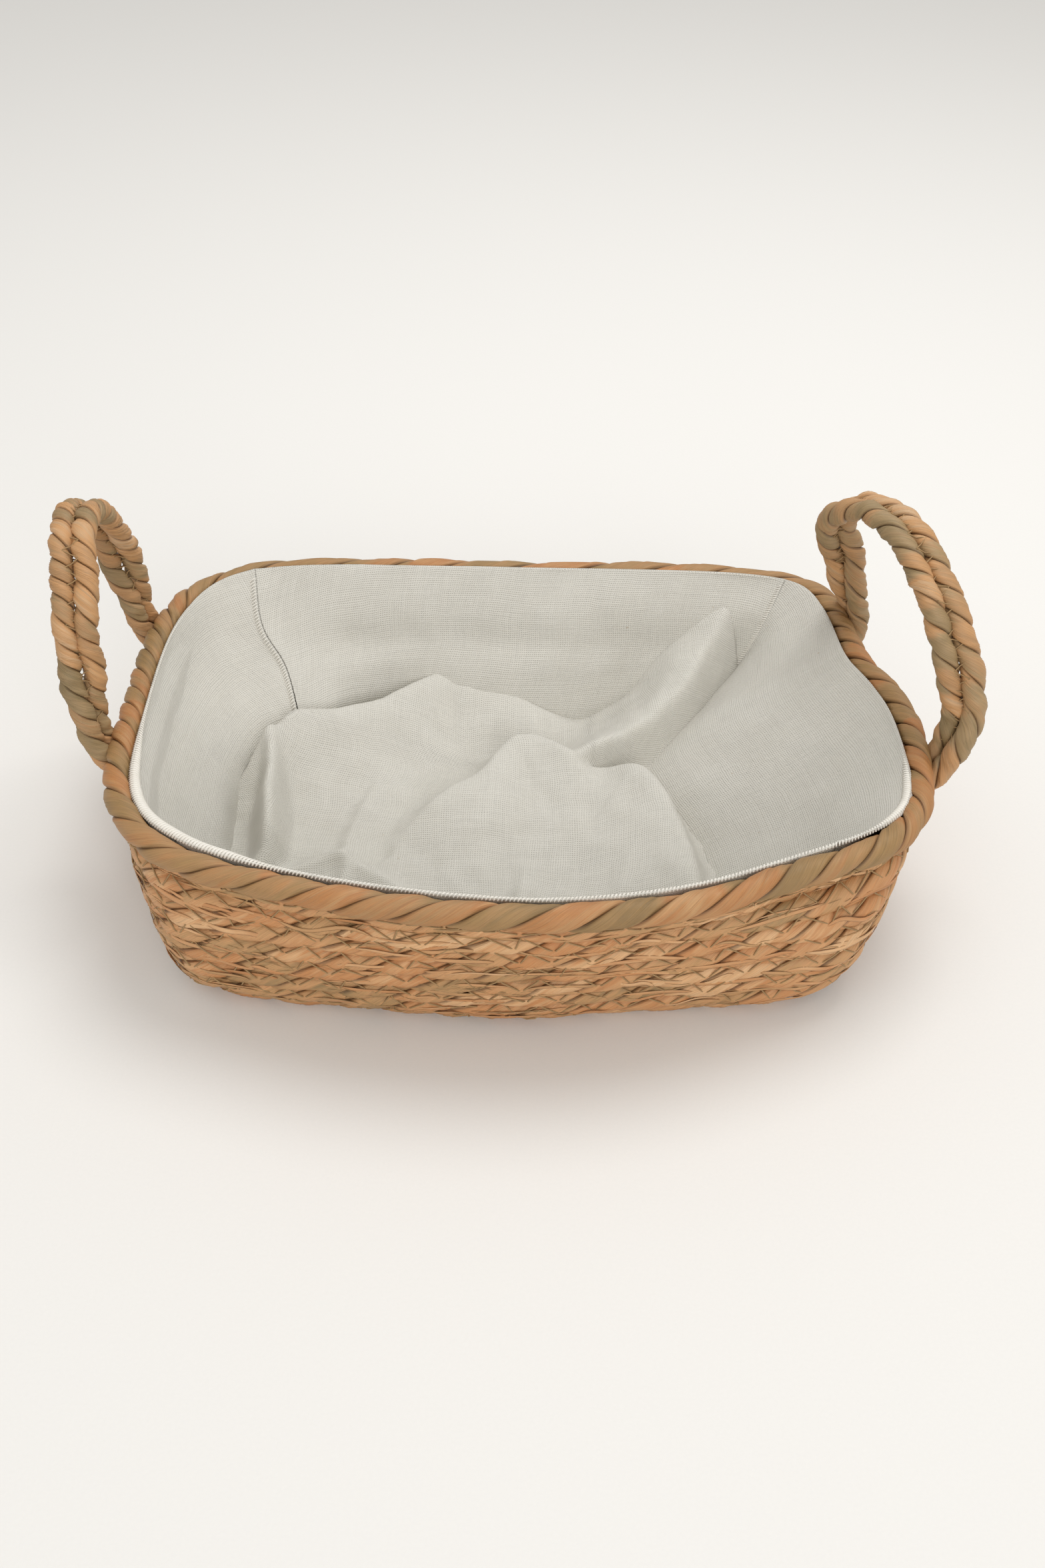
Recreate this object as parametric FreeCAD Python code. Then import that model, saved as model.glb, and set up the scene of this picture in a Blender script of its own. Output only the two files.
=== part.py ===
import FreeCAD, Part
import math
import os

# Oval bread basket: a coiled and stitched rope body, a thicker rim rope,
# a sewn-in cotton liner and two arched rope handles on the short ends.
# Millimetres, +Z up, X along the length, the front is -Y.
# The origin is on the table, under the middle of the basket.

# Rim rope
RIM_HALF_LENGTH = 146.0
RIM_HALF_WIDTH = 105.0
RIM_RADIUS = 4.3
RIM_HEIGHT = 67.3
RIM_ROUND = 3.8
SKEW = -0.042

# Ropes of the coiled body
ROPE = 8.0
PITCH = 8.25
WALL_ROUND = 3.4
WALL_COURSES = 7
WALL_INSET = 4.4
WALL_FLARE = 0.55

# Coiled base
BASE_COURSES = 10
BASE_HALF_LENGTH = 117.0
BASE_HALF_WIDTH = 86.0
BASE_SHIFT = -8.5
BASE_ROPE_WIDTH = 7.2
BASE_ROUND = 2.4

# Cotton liner
LINER_THICKNESS = 1.4
LINER_CLEARANCE = 1.4
SEAM_GAP = 0.6
FLOOR_THICKNESS = 3.0
FLOOR_MOUND = 10.0
HEM_HEIGHT = 6.0

# Handles: each is two ropes side by side, spread either side of its middle line
HANDLE_RADIUS = 4.0
HANDLE_SPREAD = 4.5
HINGE_HEIGHT = 70.0
ROOT_GAP = 0.4
ROOT_DROP = 22.0

# Middle line of each handle: x, y, z, and the turn of the ribbon in degrees,
# 0 flat against the wall and 90 across the basket's end. First and last points
# are on the line that the handle bends about.
LEFT_HANDLE = [
    (-153.9, -19, 70, -1.4), (-155.6, -17, 89, 38), (-157, -10, 114, 82),
    (-158.4, 3, 133, 90), (-160.5, 22, 142, 90), (-161.5, 42, 132, 90),
    (-160, 54, 113, 88), (-158, 59.5, 90, 45), (-155.8, 61, 70, -1.4)]
RIGHT_HANDLE = [
    (155, -18, 70, 11.2), (159, -17, 87, 48), (156.5, -12, 105, 88),
    (149, -2, 125, 105), (141, 12, 138, 115), (130, 32, 141.5, 120),
    (119, 48, 131, 120), (119, 60, 116, 112), (126, 67, 100, 80),
    (131.5, 71, 84, 45), (137, 73, 70, 11.2)]

# Corners of the polygon that every oval is drawn on
OUTLINE_POINTS = 32


def vec(x, y, z):
    return FreeCAD.Vector(x, y, z)


def near(angle, middle, width):
    """Bell of height 1 about a middle angle."""
    turn = (angle - middle + math.pi) % (2 * math.pi) - math.pi
    return math.exp(-(turn / width) ** 2)


def outline(half_length, half_width, shift, z, points, square=0.0):
    """Closed oval: a superellipse, squarer at the back, rounder in front and at the right.

    Square, from 0 to 1, fills out its two front corners."""
    ring = []
    for i in range(points):
        angle = 2 * math.pi * (i + 0.5) / points
        c, s = math.cos(angle), math.sin(angle)
        power = 3.83 + 1.95 * s - 0.07 * c + 0.25 * math.sin(2 * angle)
        power -= 2.78 * near(angle, 0.24, 0.5)
        power += 2.8 * square * near(angle, -0.64, 0.44)
        power += 2.4 * square * near(angle, -2.5, 0.5)
        power = max(2.0, power)
        x = half_length * math.copysign(abs(c) ** (2 / power), c)
        y = half_width * math.copysign(abs(s) ** (2 / power), s)
        ring.append(vec(x + SKEW * y + shift, y, z))
    return ring


def rounded_edges(points, closed):
    """Straight runs joined by the largest tangent arcs that they have room for."""
    count = len(points)
    corners = range(count) if closed else range(1, count - 1)
    arcs = []
    for i in corners:
        here = points[i]
        back = points[i - 1] - here
        ahead = points[(i + 1) % count] - here
        reach = 0.45 * min(back.Length, ahead.Length)
        back.normalize()
        ahead.normalize()
        half = back.getAngle(ahead) / 2
        middle = (back + ahead).normalize()
        top = here + middle * (reach / math.cos(half) - reach * math.tan(half))
        arcs.append((here + back * reach, top, here + ahead * reach))
    edges = []
    last = arcs[-1][2] if closed else points[0]
    for start, top, end in arcs:
        edges.append(Part.makeLine(last, start))
        edges.append(Part.Arc(start, top, end).toShape())
        last = end
    if not closed:
        edges.append(Part.makeLine(last, points[-1]))
    return edges


def loop(points):
    return Part.Wire(rounded_edges(points, True))


def rounded_section(width, height, rounding, at, along):
    """Rounded rectangle square to a level path, wide across it and high along Z."""
    side = along.cross(vec(0, 0, 1)).normalize()
    arcs = []
    for right, up, start in ((1, 1, 0), (-1, 1, 90), (-1, -1, 180), (1, -1, 270)):
        reach = right * (width / 2 - rounding)
        rise = up * (height / 2 - rounding)
        centre = at + side * reach + vec(0, 0, rise)
        ends = []
        for step in (0, 45, 90):
            angle = math.radians(start + step)
            spoke = side * math.cos(angle) + vec(0, 0, math.sin(angle))
            ends.append(centre + spoke * rounding)
        arcs.append(ends)
    edges = []
    for i, ends in enumerate(arcs):
        edges.append(Part.Arc(*ends).toShape())
        edges.append(Part.makeLine(ends[2], arcs[(i + 1) % 4][0]))
    return Part.Wire(edges)


def rope_ring(centre, width, height, rounding):
    """Flattened rope laid along a level loop that runs through its middle."""
    edge = centre.Edges[0]
    at = edge.valueAt(edge.FirstParameter)
    along = edge.tangentAt(edge.FirstParameter)
    section = rounded_section(width, height, rounding, at, along)
    return centre.makePipeShell([section], True, False)


def save(name, shape):
    assert shape.isValid(), name
    print(name, len(shape.Solids), round(shape.Volume / 1000, 2), "cm3")
    shape.exportStep("parts/" + name + ".step")


def wall_places():
    """Growth of the outline and height of each wall course, bottom to top.

    Growth runs from 0 at the base to 1 under the rim. Each course lies one
    pitch from the last, measured up the slope of the long sides."""
    widening = RIM_HALF_WIDTH - WALL_INSET - BASE_HALF_WIDTH
    places = []
    growth, height = 0.0, ROPE / 2
    for k in range(1, WALL_COURSES + 1):
        wider = (k / WALL_COURSES) ** WALL_FLARE
        height += math.sqrt(PITCH ** 2 - (widening * (wider - growth)) ** 2)
        growth = wider
        places.append((growth, height))
    return places


def wall_outline(growth, z, inset, points):
    """Middle line of the wall's rope at a given growth, drawn in by an inset."""
    top_length = RIM_HALF_LENGTH - WALL_INSET
    top_width = RIM_HALF_WIDTH - WALL_INSET
    half_length = BASE_HALF_LENGTH + (top_length - BASE_HALF_LENGTH) * growth
    half_width = BASE_HALF_WIDTH + (top_width - BASE_HALF_WIDTH) * growth
    shift = BASE_SHIFT * (1 - growth)
    square = 1 - growth ** 2
    return outline(half_length - inset, half_width - inset, shift, z, points, square)


def make_base():
    """Coils of the base: ovals spread evenly from a straight centre strip to the edge."""
    edge = wall_outline(0, ROPE / 2, 0, OUTLINE_POINTS)
    strip_reach = BASE_HALF_LENGTH - BASE_HALF_WIDTH
    for j in range(BASE_COURSES):
        spread = 1 - PITCH * (BASE_COURSES - 1 - j) / BASE_HALF_WIDTH
        ring = []
        for point in edge:
            along = (point.x - BASE_SHIFT) * strip_reach / BASE_HALF_LENGTH
            middle = vec(BASE_SHIFT + along, 0, point.z)
            ring.append(middle + (point - middle) * spread)
        name = "base_coil_%02d" % (j + 1)
        if j == 0:
            strip = Part.Face(loop(ring)).extrude(vec(0, 0, ROPE))
            strip.translate(vec(0, 0, -ROPE / 2))
            save(name, strip)
        else:
            save(name, rope_ring(loop(ring), BASE_ROPE_WIDTH, ROPE, BASE_ROUND))


def make_wall():
    for k, (growth, z) in enumerate(wall_places()):
        centre = loop(wall_outline(growth, z, 0, OUTLINE_POINTS))
        save("wall_course_%d" % (k + 1), rope_ring(centre, ROPE, ROPE, WALL_ROUND))


def make_rim():
    oval = outline(RIM_HALF_LENGTH, RIM_HALF_WIDTH, 0, RIM_HEIGHT, OUTLINE_POINTS)
    save("rim_rope", rope_ring(loop(oval), 2 * RIM_RADIUS, 2 * RIM_RADIUS, RIM_ROUND))


def polygon(points):
    return Part.makePolygon(points + points[:1])


def cloth_wall(levels, inset):
    """Ruled solid through the wall's outline at each (growth, z), drawn in by an inset."""
    wires = []
    for growth, z in levels:
        wires.append(polygon(wall_outline(growth, z, inset, OUTLINE_POINTS)))
    return Part.makeLoft(wires, True, True)


def quarter(first, second, top):
    """Tall wedge from the middle of the basket out past two corner points."""
    far = 3.0
    base = [vec(0, 0, -1), vec(first[0] * far, first[1] * far, -1)]
    base.append(vec(second[0] * far, second[1] * far, -1))
    return Part.Face(polygon(base)).extrude(vec(0, 0, top))


def make_liner():
    """Four sewn side panels, the loose floor cloth and the overlocked top hem."""
    floor_level = ROPE + SEAM_GAP
    hem_level = RIM_HEIGHT - HEM_HEIGHT / 2
    inset = ROPE / 2 + LINER_CLEARANCE
    levels = [(0.25, floor_level)] + wall_places() + [(1.0, hem_level - SEAM_GAP)]
    cloth = cloth_wall(levels, inset).cut(cloth_wall(levels, inset + LINER_THICKNESS))
    corners = {"back_right": (112, 86), "back_left": (-122, 86),
               "front_left": (-122, -74), "front_right": (118, -70)}
    panels = (("liner_back", "back_right", "back_left"),
              ("liner_left", "back_left", "front_left"),
              ("liner_front", "front_left", "front_right"),
              ("liner_right", "front_right", "back_right"))
    for name, start, end in panels:
        wedge = quarter(corners[start], corners[end], RIM_HEIGHT)
        save(name, cloth.common(wedge))
    floor_inset = inset + LINER_THICKNESS + SEAM_GAP
    slab = []
    for drawn_in, z in ((0, 0), (0, FLOOR_THICKNESS), (45, FLOOR_MOUND)):
        ring = wall_outline(0.25, floor_level + z, floor_inset + drawn_in, OUTLINE_POINTS)
        slab.append(polygon(ring))
    save("liner_floor", Part.makeLoft(slab, True, True))
    hem_inset = RIM_RADIUS - WALL_INSET + LINER_CLEARANCE
    rise = vec(0, 0, HEM_HEIGHT)
    bands = []
    for drawn_in in (hem_inset, hem_inset + LINER_THICKNESS):
        edge = polygon(wall_outline(1.0, hem_level, drawn_in, OUTLINE_POINTS))
        bands.append(Part.Face(edge).extrude(rise))
    save("liner_hem", bands[0].cut(bands[1]))


def tube(points, radius):
    path = Part.Wire(rounded_edges(points, False))
    along = (points[1] - points[0]).normalize()
    ring = Part.Wire(Part.makeCircle(radius, points[0], along))
    return path.makePipeShell([ring], True, False)


def rope_line(handle, outward, which):
    """Middle line of one of a handle's two ropes: which is 1 outside, -1 inside."""
    middles = [vec(*place[:3]) for place in handle]
    points = []
    for i, (x, y, z, turn) in enumerate(handle):
        angle = math.radians(turn)
        across = vec(outward * math.sin(angle), -math.cos(angle), 0)
        if 0 < i < len(handle) - 1:
            along = (middles[i + 1] - middles[i - 1]).normalize()
            across = (across - along * across.dot(along)).normalize()
        points.append(middles[i] + across * (which * HANDLE_SPREAD))
    return points


def make_handle(side, handle, outward):
    """Arched ropes with ball ends on the bending line, and their sewn roots below."""
    for which, label in ((1, "outer"), (-1, "inner")):
        points = rope_line(handle, outward, which)
        rope = tube(points, HANDLE_RADIUS)
        for end in (points[0], points[-1]):
            rope = rope.fuse(Part.makeSphere(HANDLE_RADIUS, end))
        save("%s_handle_%s_rope" % (side, label), rope.removeSplitter())
        for end, place in ((points[0], "front"), (points[-1], "back")):
            top = vec(end.x, end.y, HINGE_HEIGHT - HANDLE_RADIUS - ROOT_GAP)
            bend = top - vec(0, 0, ROOT_DROP * 0.35)
            low = top - vec(outward * 3.5, 0, ROOT_DROP)
            name = "%s_handle_%s_%s_root" % (side, place, label)
            save(name, tube([top, bend, low], HANDLE_RADIUS))


os.makedirs("parts", exist_ok=True)
make_base()
make_wall()
make_rim()
make_liner()
make_handle("left", LEFT_HANDLE, -1)
make_handle("right", RIGHT_HANDLE, 1)
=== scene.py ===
import math

import bpy
import numpy as np
from mathutils import Matrix, Vector


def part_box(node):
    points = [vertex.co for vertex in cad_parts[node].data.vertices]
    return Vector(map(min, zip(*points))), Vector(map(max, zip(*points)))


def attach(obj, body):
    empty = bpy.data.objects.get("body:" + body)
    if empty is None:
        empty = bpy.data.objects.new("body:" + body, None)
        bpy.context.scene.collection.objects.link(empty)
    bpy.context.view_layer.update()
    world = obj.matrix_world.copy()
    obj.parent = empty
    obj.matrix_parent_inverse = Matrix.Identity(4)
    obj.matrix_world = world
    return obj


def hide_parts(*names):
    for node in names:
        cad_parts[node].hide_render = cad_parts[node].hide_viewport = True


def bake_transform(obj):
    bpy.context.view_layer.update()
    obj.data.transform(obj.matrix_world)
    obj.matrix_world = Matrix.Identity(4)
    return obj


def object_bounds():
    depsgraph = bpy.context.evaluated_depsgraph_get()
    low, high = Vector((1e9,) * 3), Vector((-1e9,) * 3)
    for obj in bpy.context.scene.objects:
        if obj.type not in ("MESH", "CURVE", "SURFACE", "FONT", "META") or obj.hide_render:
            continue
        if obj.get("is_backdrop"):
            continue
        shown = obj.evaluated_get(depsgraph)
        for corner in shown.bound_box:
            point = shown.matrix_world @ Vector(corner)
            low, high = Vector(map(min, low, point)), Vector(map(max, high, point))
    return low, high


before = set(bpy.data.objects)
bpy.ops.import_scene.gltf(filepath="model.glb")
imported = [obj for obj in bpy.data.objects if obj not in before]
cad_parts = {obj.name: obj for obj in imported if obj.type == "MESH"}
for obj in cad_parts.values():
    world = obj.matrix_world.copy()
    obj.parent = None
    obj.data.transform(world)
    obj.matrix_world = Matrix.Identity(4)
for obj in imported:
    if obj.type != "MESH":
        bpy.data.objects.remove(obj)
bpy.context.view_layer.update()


# ---------------------------------------------------------------- the coiled wall
# One long rope of two twisted cattail leaves is laid up in level courses from the
# edge of the base to the rim. The leaves dry flat, so each course is taller than
# it is thick, and no two twists of the leaf have the same colour.

MM = 0.001
WALL_COURSES = 7
STEPS_ROUND = 660
BASE_HALF, COURSE_HALF, RIM_HALF = 3.6, 4.0, 4.3


def wander(places, low, high, seed):
    """Smooth closed random curve: a sum of sines from low to high turns per round, about 1 in size."""
    draw = np.random.default_rng(seed)
    waves = np.arange(low, high + 1)
    size = draw.normal(size=len(waves)) / math.sqrt(len(waves))
    start = draw.uniform(0, 2 * math.pi, len(waves))
    return (size * np.sin(2 * math.pi * places[..., None] * waves + start)).sum(-1)


def near(angle, middle, width):
    """Bell of height 1 about a middle angle, in radians."""
    turn = (angle - middle + math.pi) % (2 * math.pi) - math.pi
    return np.exp(-(turn / width) ** 2)


def oval(half_length, half_width, shift, places, square=0.0):
    """Plan of the basket: x = a sgn(c)|c|^(2/p), y = b sgn(s)|s|^(2/p), the power p larger at the
    back and smaller at the right; square, from 0 to 1, fills out the two front corners. places
    run 0 to 1 round the edge, anticlockwise from the right."""
    angle = np.linspace(0, 2 * math.pi, 4001)[:-1]
    c, s = np.cos(angle), np.sin(angle)
    power = 3.83 + 1.95 * s - 0.07 * c + 0.25 * np.sin(2 * angle) - 3.0 * near(angle, 0.286, 0.32)
    power += square * (3.2 * near(angle, -0.64, 0.44) + 2.7 * near(angle, -2.5, 0.5))
    power = np.maximum(power, 2.0)
    x = half_length * np.sign(c) * np.abs(c) ** (2 / power)
    y = half_width * np.sign(s) * np.abs(s) ** (2 / power)
    x = x - 0.042 * y + shift
    line = np.stack([x, y], -1)
    for _ in range(2):
        steps = np.linalg.norm(np.roll(line, -1, 0) - line, axis=1)
        run = np.concatenate([[0], np.cumsum(steps)])
        even = np.linspace(0, run[-1], 1601)[:-1]
        closed = np.concatenate([line, line[:1]])
        line = np.stack([np.interp(even, run, closed[:, i]) for i in (0, 1)], -1)
        reach = np.arange(-40, 41)
        weight = np.exp(-(reach / 14.0) ** 2)
        weight /= weight.sum()
        line = sum(w * np.roll(line, -r, 0) for w, r in zip(weight, reach))
    closed = np.concatenate([line, line[:1]])
    knots = np.linspace(0, 1, len(closed))
    return np.stack([np.interp(places % 1.0, knots, closed[:, i]) for i in (0, 1)], -1)


def course_line(node, half_thick, places, square=0.0):
    """Middle line of a ring of rope, from the place and size of its CAD node, in millimetres."""
    low, high = (np.array(corner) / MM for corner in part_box(node))
    half = (high - low) / 2 - half_thick
    middle = (high + low) / 2
    plan = oval(half[0], half[1], middle[0], places, square)
    return np.concatenate([plan, np.full((len(places), 1), middle[2])], 1)


def unit(vectors):
    """Each vector divided by its length."""
    return vectors / np.linalg.norm(vectors, axis=-1, keepdims=True)


def along_line(points, closed):
    """Unit tangents of a line, by central differences."""
    if closed:
        return unit(np.roll(points, -1, 0) - np.roll(points, 1, 0))
    return unit(np.gradient(points, axis=0))


def grid_object(name, points, closed_along, closed_round, uv_size, values=None, caps=False):
    """Mesh of one or more grids of points (along, round, xyz) in millimetres. The UV map runs in
    metres: uv_size is its step along and round, or its value at each point of an open grid.
    values are named numbers kept for each point."""
    if points.ndim == 3:
        points = points[None]
    sheets, rows, cols = points.shape[:3]
    last_row = rows if closed_along else rows - 1
    last_col = cols if closed_round else cols - 1
    i, j = np.meshgrid(np.arange(last_row), np.arange(last_col), indexing="ij")
    i, j = i.ravel(), j.ravel()
    corners_i = np.stack([i, i + 1, i + 1, i], -1)
    corners_j = np.stack([j, j, j + 1, j + 1], -1)
    quads = (corners_i % rows) * cols + corners_j % cols
    faces = np.concatenate([quads + k * rows * cols for k in range(sheets)])
    if np.ndim(uv_size) == 3:
        uv = uv_size.reshape(-1, 2)[quads] * MM
    else:
        uv = np.stack([corners_i * uv_size[0], corners_j * uv_size[1]], -1) * MM
    uv = np.concatenate([uv + k * 0.37 for k in range(sheets)]).reshape(-1, 2)
    loops, counts = [faces.ravel()], [np.full(len(faces), 4)]
    if caps:
        for k in range(sheets):
            ring = np.arange(cols) + k * rows * cols
            loops += [ring, (ring + (rows - 1) * cols)[::-1]]
            counts.append(np.array([cols, cols]))
            uv = np.concatenate([uv, np.zeros((2 * cols, 2))])
    loops, counts = np.concatenate(loops), np.concatenate(counts)
    mesh = bpy.data.meshes.new(name)
    mesh.vertices.add(points.size // 3)
    mesh.vertices.foreach_set("co", (points * MM).astype(np.float32).ravel())
    mesh.loops.add(len(loops))
    mesh.loops.foreach_set("vertex_index", loops.astype(np.int32))
    mesh.polygons.add(len(counts))
    starts = np.concatenate([[0], np.cumsum(counts)[:-1]])
    mesh.polygons.foreach_set("loop_start", starts.astype(np.int32))
    mesh.polygons.foreach_set("loop_total", counts.astype(np.int32))
    mesh.uv_layers.new(name="UVMap").data.foreach_set("uv", uv.astype(np.float32).ravel())
    for key, value in (values or {}).items():
        layer = mesh.attributes.new(key, "FLOAT", "POINT")
        layer.data.foreach_set("value", value.astype(np.float32).ravel())
    mesh.update(calc_edges=True)
    mesh.validate()
    mesh.shade_smooth()
    made = bpy.data.objects.new(name, mesh)
    bpy.context.collection.objects.link(made)
    return made


def twisted_rope(name, middle, outward, up, thick, tall, lobe, seed, sides=20, closed=True, square=2.6):
    """Two plies wound about a line. In the turning angle q about the line the outside of a ply is
    0.93 + 0.13 cos(q - w), falling to 0.74 at its edges, for q - w from -100 to 100 degrees, and
    its inside passes the line. Leaf edges are steps of tanh in q. A point is
    line + outward thick r C(q) + up tall r S(q), C and S a superellipse's cosine and sine. lobe is
    the length of line that shows one lobe: w grows by half a turn over each."""
    count = len(middle)
    places = np.arange(count) / (count if closed else count - 1)
    draw = np.random.default_rng(seed)
    step = np.linalg.norm(np.diff(middle, axis=0), axis=1).mean()
    speed = math.pi * step / lobe * np.exp(0.22 * wander(places, 5, 18, seed + 1))
    wind = np.concatenate([[0], np.cumsum(speed)[:-1]])
    if closed:
        whole = max(1, round(speed.sum() / (2 * math.pi)))
        wind = wind * (2 * math.pi * whole / speed.sum())
    wind = wind + draw.uniform(0, 2 * math.pi)
    inner = 3
    leaf_edge = 1.6
    spread = np.linspace(-1.75, 1.75, sides - inner)
    edge = np.abs(spread) / leaf_edge
    plain = 0.93 + 0.13 * np.cos(spread) - 0.22 * np.clip((edge - 0.72) / 0.28, 0, 1.3) ** 2
    plies, tones, painted_groove_shades = [], [], []
    for ply in (0, 1):
        angle = wind + ply * math.pi
        swell = 1 + 0.05 * wander(places, 8, 40, seed + 3 + ply)
        steps = np.zeros((count, sides - inner))
        for fold in range(3):
            at = draw.uniform(-1.3, 1.3) + 0.55 * wander(places, 4, 30, seed + 20 + 5 * ply + fold)
            gap = spread[None] - at[:, None]
            steps += 0.045 * np.tanh(gap / 0.12) * np.exp(-np.abs(gap) / 0.5)
        radius = plain[None] * swell[:, None] + steps + 0.03 * (spread / leaf_edge)[None]
        back = np.tile([0.45, -0.12, 0.45], (count, 1))
        radius = np.concatenate([radius, back], 1)
        across = np.concatenate([spread, [1.5, 0.0, -1.5]])
        q = angle[:, None] + across[None]
        power = 2 / square
        u = np.sign(np.cos(q)) * np.abs(np.cos(q)) ** power * radius * thick
        v = np.sign(np.sin(q)) * np.abs(np.sin(q)) ** power * radius * tall
        plies.append(middle[:, None] + outward[:, None] * u[..., None] + up[:, None] * v[..., None])
        colours = draw.uniform(0, 1, int(angle.max() / (2 * math.pi)) + 3)
        turns = angle / (2 * math.pi) + 0.5
        index = np.floor(turns).astype(int)
        ease = np.clip((turns - index - 0.86) / 0.14, 0, 1)
        tone = colours[index] * (1 - ease) + colours[index + 1] * ease
        # Painted light and shade at the leaf-edge steps: the tone is lighter on the raised side of each
        # step and darker on the lower side beneath it.
        shift = np.pad(np.clip(steps * 3, -0.2, 0.2), ((0, 0), (0, inner)))
        tones.append(tone[:, None] + shift)
        # Painted shade: 1 towards the edges of each ply and over its back, where it turns into the groove
        # against the other ply.
        groove = np.clip((np.abs(across) / leaf_edge - 0.86) / 0.14, 0, 1)
        painted_groove_shades.append(np.repeat(groove[None], count, 0))
    values = {"tone": np.stack(tones), "groove": np.stack(painted_groove_shades)}
    uv_size = (step, math.pi * (thick + tall) * 0.5 / sides)
    return grid_object(name, np.stack(plies), closed, True, uv_size, values, caps=not closed)


class Value:
    """A shader socket that takes part in sums: each sum on it adds a Math node."""

    def __init__(self, finish, socket):
        self.finish, self.socket = finish, socket

    def sum(self, operation, first, second=0.0):
        return self.finish.node("ShaderNodeMath", {"operation": operation}, {0: first, 1: second})

    def __add__(self, other):
        return self.sum("ADD", self, other)

    def __sub__(self, other):
        return self.sum("SUBTRACT", self, other)

    def __mul__(self, other):
        return self.sum("MULTIPLY", self, other)

    def __pow__(self, other):
        return self.sum("POWER", self, other)

    def __rsub__(self, other):
        return self.sum("SUBTRACT", other, self)

    def __abs__(self):
        return self.sum("ABSOLUTE", self)

    __radd__, __rmul__ = __add__, __mul__

    def clamp(self):
        return self.sum("MINIMUM", self.sum("MAXIMUM", self, 0.0), 1.0)


class Finish:
    """One material. Every node but the sums on values comes from node()."""

    def __init__(self, name):
        self.material = bpy.data.materials.new(name)
        self.material.use_nodes = True
        self.tree = self.material.node_tree
        self.tree.nodes.clear()

    def node(self, kind, settings=(), inputs=(), output=0):
        made = self.tree.nodes.new(kind)
        for key, value in dict(settings).items():
            if key == "stops":
                ramp = made.color_ramp.elements
                while len(ramp) < len(value):
                    ramp.new(0.5)
                for element, (place, colour) in zip(ramp, value):
                    element.position, element.color = place, (*colour, 1.0)
            else:
                setattr(made, key, value)
        for key, value in dict(inputs).items():
            if isinstance(value, Value):
                self.tree.links.new(value.socket, made.inputs[key])
            else:
                made.inputs[key].default_value = value
        return Value(self, made.outputs[output]) if len(made.outputs) else None

    def scaled(self, vector, along, across):
        """A texture's vector times along and across."""
        return self.node("ShaderNodeMapping", {}, {"Vector": vector, "Scale": (along, across, 1)})

    def uv(self, along, across):
        """The piece's own UV map, which is in metres, scaled."""
        return self.scaled(self.node("ShaderNodeUVMap", {"uv_map": "UVMap"}), along, across)

    def noise(self, vector, scale, detail=3.0, rough=0.55):
        return self.node("ShaderNodeTexNoise", {"noise_dimensions": "3D"},
                         {"Vector": vector, "Scale": scale, "Detail": detail, "Roughness": rough})

    def stored(self, name):
        return self.node("ShaderNodeAttribute", {"attribute_name": name}, output="Fac")

    def ramp(self, value, stops):
        return self.node("ShaderNodeValToRGB", {"stops": stops}, {"Fac": value})

    def mix(self, factor, first, second, blend="MIX"):
        settings = {"data_type": "RGBA", "blend_type": blend}
        return self.node("ShaderNodeMix", settings, {0: factor, 6: first, 7: second}, output=2)

    def surface(self, colour, height, depth, **sockets):
        """Principled surface with a bump of the given height in metres."""
        bump = self.node("ShaderNodeBump", {}, {"Height": height, "Distance": depth})
        inputs = {"Base Color": colour, "Normal": bump}
        inputs.update({key.replace("_", " "): value for key, value in sockets.items()})
        shader = self.node("ShaderNodeBsdfPrincipled", {}, inputs)
        self.node("ShaderNodeOutputMaterial", {}, {"Surface": shader})
        return self.material


def leaf_finish(name, stops, streaks=1.0):
    """Dried leaf: each lobe has its own tone, fine fibres and darker streaks run along the twist; painted
    shade darkens the grooves between the plies, and the tone carries painted light and shade beside the
    leaf-edge steps.
    """
    leaf = Finish(name)
    fibres = leaf.noise(leaf.uv(90, 3600), 1.0, 2.0, 0.6)
    streak = leaf.noise(leaf.uv(30, 900), 1.0, 3.0, 0.6)
    place = leaf.node("ShaderNodeTexCoord", output="Object")
    blotch = leaf.noise(place, 75.0, 2.0)
    shade = leaf.stored("tone") * 0.72 + streak * 0.55 + blotch * 0.45 - 0.36
    colour = leaf.ramp(shade.clamp(), stops)
    dark = ((streak - 0.56) * 7.0).clamp() * (0.35 * streaks)
    colour = leaf.mix(dark, colour, (0.19, 0.115, 0.06, 1))
    fine = (fibres - 0.5) * 0.55 + 0.93
    grey = leaf.node("ShaderNodeCombineColor", {}, {0: fine, 1: fine, 2: fine})
    colour = leaf.mix(1.0, colour, grey, "MULTIPLY")
    # Painted shade: the grooves between the plies are darkened towards a deep brown.
    colour = leaf.mix((leaf.stored("groove") * 0.8).clamp(), colour, (0.085, 0.045, 0.02, 1))
    height = fibres * 0.5 + streak * 1.0
    rough = streak * 0.25 + 0.42
    return leaf.surface(colour, height, 0.0004, Roughness=rough)


WALL_STOPS = [(0.0, (0.324, 0.210, 0.091)), (0.22, (0.516, 0.290, 0.122)), (0.42, (0.624, 0.330, 0.144)),
              (0.62, (0.564, 0.250, 0.091)), (0.8, (0.696, 0.400, 0.190)), (1.0, (0.792, 0.500, 0.266))]
wall_leaf = leaf_finish("wall_leaf", WALL_STOPS)


def ring_frame(middle, below, above):
    """Outward and up-the-wall directions of a course, from the courses below and above it."""
    along = along_line(middle, True)
    up = above - below
    up = unit(up - along * (up * along).sum(-1, keepdims=True))
    return np.cross(along, up), up


def level_frame(middle):
    """Outward and upward directions along a closed level line."""
    up = np.tile([0.0, 0.0, 1.0], (len(middle), 1))
    return np.cross(along_line(middle, True), up), up


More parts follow.
